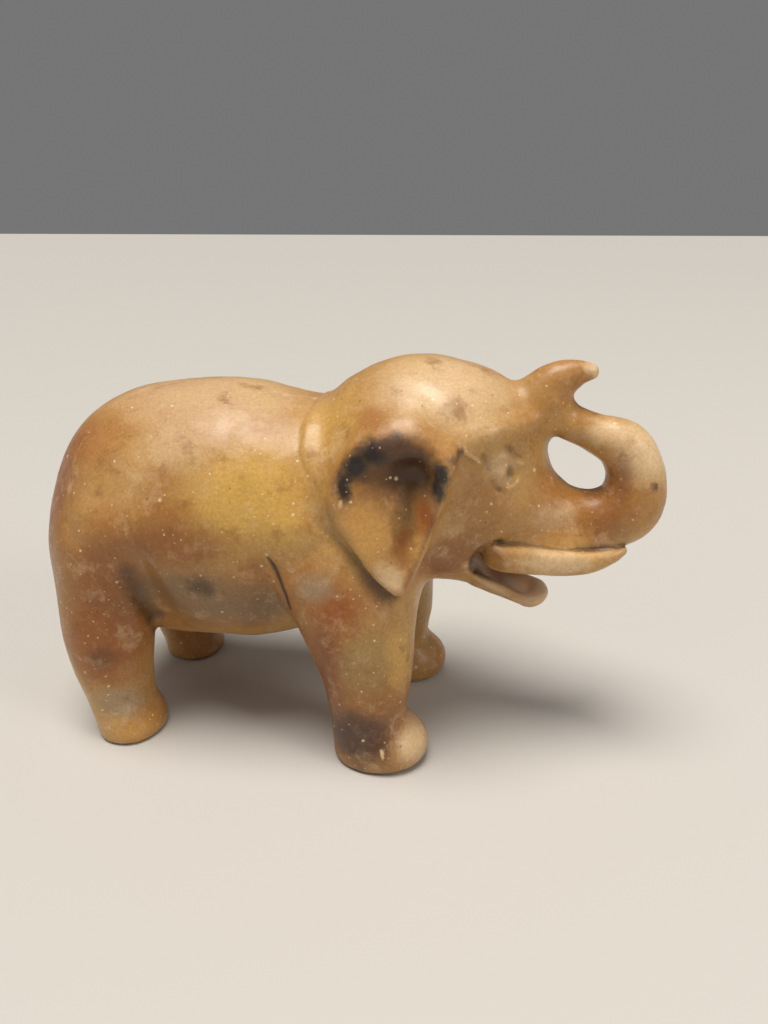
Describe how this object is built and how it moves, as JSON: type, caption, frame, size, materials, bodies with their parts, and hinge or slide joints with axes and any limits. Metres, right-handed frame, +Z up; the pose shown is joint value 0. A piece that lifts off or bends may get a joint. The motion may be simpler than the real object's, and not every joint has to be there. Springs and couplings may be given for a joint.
{
  "type": "soapstone elephant figurine",
  "caption": "Carved and polished soapstone elephant standing on flat-soled feet, trunk curled up to its forehead, with leaf-shaped ears and tusks along the muzzle.",
  "frame": {"origin": "on the ground under the middle of the figure's box", "axes": "+X towards the head, +Y towards the elephant's left, +Z up"},
  "size_m": [0.121, 0.0492, 0.0753],
  "materials": {
    "soapstone": "waxed satin polish"
  },
  "bodies": {
    "root": {"elephant": "soapstone"}
  },
  "joints": []
}
